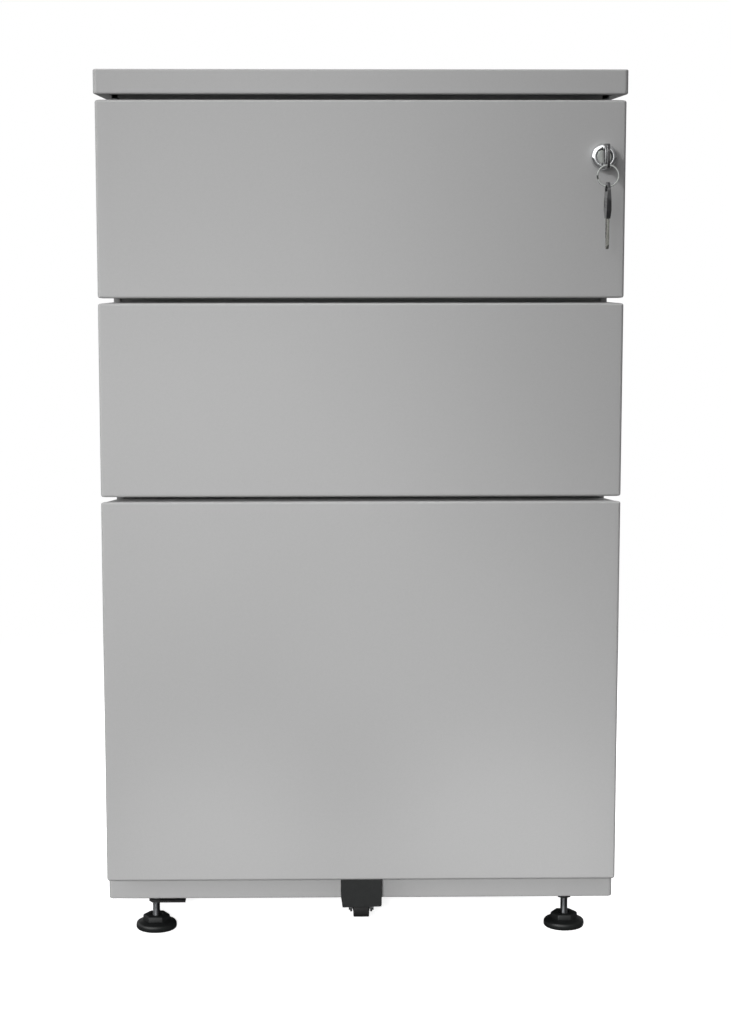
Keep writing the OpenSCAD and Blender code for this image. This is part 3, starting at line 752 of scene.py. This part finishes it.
# ------------------------------------------------------------------ screw heads on the back
b_lo, b_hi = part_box("back_screws")
heads, cuts = [], []
xs = (b_lo.x + 0.003, b_hi.x - 0.003)
zs = np.linspace(b_lo.z + 0.003, b_hi.z - 0.003, 4)
yb = b_hi.y
prof = [(0, -0.0040), (0.0016, -0.0040), (0.0016, -0.0009), (0.0029, -0.0009), (0.0030, -0.0007), (0.0028, -0.0004), (0.0021, -0.0001), (0.0011, 0.0), (0, 0.0)]
for x in xs:
    for z in zs:
        heads.append(lathe(prof, (x, yb, z), (0, 1, 0), 32))
        cuts.append(block((x - 0.0014, yb - 0.00055, z - 0.00032), (x + 0.0014, yb + 0.001, z + 0.00032)))
        cuts.append(block((x - 0.00032, yb - 0.00055, z - 0.0014), (x + 0.00032, yb + 0.001, z + 0.0014)))
V, F = merge(heads)
o = add("back_screw_heads", V, F, "carcass", "zinc_steel", "back_screws", sharp=45)
carve(o, [raw(*c) for c in cuts])
o.data.set_sharp_from_angle(angle=math.radians(45))

# ------------------------------------------------------------------ floor, light
fm = bpy.data.materials.new("floor_white")
fm.use_nodes = True
nt = fm.node_tree
bs = nt.nodes["Principled BSDF"]
bs.inputs["Roughness"].default_value = 0.9
bs.inputs["Specular IOR Level"].default_value = 0.0
tc = nt.nodes.new("ShaderNodeTexCoord")
nt.links.new(ramp(nt, noise(nt, tc.outputs["Object"], 3.0, 2.0), [(0.3, (0.93, 0.93, 0.93)), (0.7, (0.95, 0.95, 0.95))]), bs.inputs["Base Color"])
# the floor fades into a plain white surround away from the cabinet
ln = nt.nodes.new("ShaderNodeVectorMath")
ln.operation = "LENGTH"
nt.links.new(tc.outputs["Object"], ln.inputs[0])
fade = nt.nodes.new("ShaderNodeMapRange")
fade.interpolation_type = "SMOOTHSTEP"
fade.inputs["From Min"].default_value = 0.20
fade.inputs["From Max"].default_value = 1.1
fade.inputs["To Min"].default_value = 0.0
fade.inputs["To Max"].default_value = 1.0
nt.links.new(ln.outputs["Value"], fade.inputs["Value"])
em = nt.nodes.new("ShaderNodeEmission")
em.inputs["Strength"].default_value = 1.0
mx = nt.nodes.new("ShaderNodeMixShader")
nt.links.new(fade.outputs["Result"], mx.inputs[0])
glow = nt.nodes.new("ShaderNodeEmission")
glow.inputs["Strength"].default_value = 0.86
ad = nt.nodes.new("ShaderNodeAddShader")
nt.links.new(bs.outputs[0], ad.inputs[0])
nt.links.new(glow.outputs[0], ad.inputs[1])
nt.links.new(ad.outputs[0], mx.inputs[1])
nt.links.new(em.outputs[0], mx.inputs[2])
# what the cabinet receives back from the floor is a dimmer, plain matt grey
dull = nt.nodes.new("ShaderNodeBsdfDiffuse")
dull.inputs["Color"].default_value = (0.13, 0.13, 0.13, 1.0)
lp = nt.nodes.new("ShaderNodeLightPath")
pick = nt.nodes.new("ShaderNodeMixShader")
nt.links.new(lp.outputs["Is Camera Ray"], pick.inputs[0])
nt.links.new(dull.outputs[0], pick.inputs[1])
nt.links.new(mx.outputs[0], pick.inputs[2])
nt.links.new(pick.outputs[0], nt.nodes["Material Output"].inputs[0])
me = bpy.data.meshes.new("floor")
me.from_pydata([(-15, -15, 0), (15, -15, 0), (15, 25, 0), (-15, 25, 0)], [], [(0, 1, 2, 3)])
floor = bpy.data.objects.new("floor", me)
me.materials.append(fm)
sc.collection.objects.link(floor)
floor.location.z = -0.0002

world = bpy.data.worlds.new("studio")
sc.world = world
world.use_nodes = True
nt = world.node_tree
nt.nodes.clear()
out = nt.nodes.new("ShaderNodeOutputWorld")
tc = nt.nodes.new("ShaderNodeTexCoord")


def lobe(direction, a, b, lo_, hi_):
    """Brightness by direction: lo_ away from it, hi_ towards it."""
    dot = nt.nodes.new("ShaderNodeVectorMath")
    dot.operation = "DOT_PRODUCT"
    dot.inputs[1].default_value = Vector(direction).normalized()
    nt.links.new(tc.outputs["Generated"], dot.inputs[0])
    mr = nt.nodes.new("ShaderNodeMapRange")
    mr.interpolation_type = "SMOOTHSTEP"
    mr.inputs["From Min"].default_value = a
    mr.inputs["From Max"].default_value = b
    mr.inputs["To Min"].default_value = lo_
    mr.inputs["To Max"].default_value = hi_
    nt.links.new(dot.outputs["Value"], mr.inputs["Value"])
    return mr.outputs["Result"]


WORLD = 0.60
su = nt.nodes.new("ShaderNodeMath")
su.operation = "ADD"
nt.links.new(lobe((-0.55, -0.10, 0.80), -0.35, 0.95, 0.22 * WORLD, 1.05 * WORLD), su.inputs[0])
nt.links.new(lobe((-0.75, -0.55, 0.35), 0.80, 0.97, 0.0, 1.6 * WORLD), su.inputs[1])
box = nt.nodes.new("ShaderNodeMath")
box.operation = "MULTIPLY"
lp = nt.nodes.new("ShaderNodeLightPath")
nt.links.new(lobe((-0.42, -0.86, 0.30), 0.72, 0.95, 0.0, 1.8), box.inputs[0])
nt.links.new(lp.outputs["Is Glossy Ray"], box.inputs[1])
su2 = nt.nodes.new("ShaderNodeMath")
su2.operation = "ADD"
nt.links.new(su.outputs[0], su2.inputs[0])
nt.links.new(box.outputs[0], su2.inputs[1])
bg = nt.nodes.new("ShaderNodeBackground")
nt.links.new(su2.outputs[0], bg.inputs["Strength"])
bg.inputs["Color"].default_value = (1, 1, 1, 1)
white = nt.nodes.new("ShaderNodeBackground")
white.inputs["Color"].default_value = (1, 1, 1, 1)
white.inputs["Strength"].default_value = 1.0
mix = nt.nodes.new("ShaderNodeMixShader")
nt.links.new(lp.outputs["Is Camera Ray"], mix.inputs[0])
nt.links.new(bg.outputs[0], mix.inputs[1])
nt.links.new(white.outputs[0], mix.inputs[2])
nt.links.new(mix.outputs[0], out.inputs[0])


def aim(o, at):
    o.rotation_mode = "QUATERNION"
    o.rotation_quaternion = (Vector(at) - o.location).to_track_quat("-Z", "Y")


def spot(name, loc, at, half_angle, blend, power, soft, gloss=True):
    ld = bpy.data.lights.new(name, "SPOT")
    ld.energy = power
    ld.spot_size = 2 * half_angle
    ld.spot_blend = blend
    ld.shadow_soft_size = soft
    o = bpy.data.objects.new(name, ld)
    sc.collection.objects.link(o)
    o.location = loc
    aim(o, at)
    o.visible_glossy = gloss
    return o


def area(name, loc, at, size, power):
    ld = bpy.data.lights.new(name, "AREA")
    ld.shape = "RECTANGLE"
    ld.size, ld.size_y = size
    ld.energy = power
    o = bpy.data.objects.new(name, ld)
    sc.collection.objects.link(o)
    o.location = loc
    aim(o, at)
    o.visible_camera = False
    o.visible_glossy = False
    return o


# a light from the upper left towards the lock, three that fade towards the upper right, two low ones for the base
spot("key_light", (-1.908, YF - 1.789, 2.299), (0.409, YF, 0.40), 0.157, 0.8, 133.0, 0.08)
spot("broad_light", (-0.301, YF - 4.045, 1.314), (-1.143, YF, -2.0), 0.568, 0.353, 420.0, 0.15, gloss=False)
spot("left_light", (-0.9, YF - 3.3, 1.2), (-0.12, YF, 0.55), 0.11, 1.0, 83.0, 0.15, gloss=False)
spot("corner_light", (-1.2, YF - 3.0, 1.6), (-0.18, YF, 0.62), 0.10, 1.0, 72.0, 0.15, gloss=False)
area("rear_fill", (2.0, 2.4, 1.4), (0, 0.1, 0.35), (1.2, 1.2), 55.0)
area("top_fill", (-0.3, 0.9, 2.3), (0, 0.2, 0.66), (1.2, 0.8), 30.0)
spot("base_left", (-0.12, YF - 2.4, 0.045), (-0.115, YF + 0.02, 0.052), 0.055, 0.9, 34.0, 0.05, gloss=False)
spot("base_right", (0.12, YF - 2.4, 0.045), (0.105, YF + 0.02, 0.052), 0.055, 0.9, 36.0, 0.05, gloss=False)
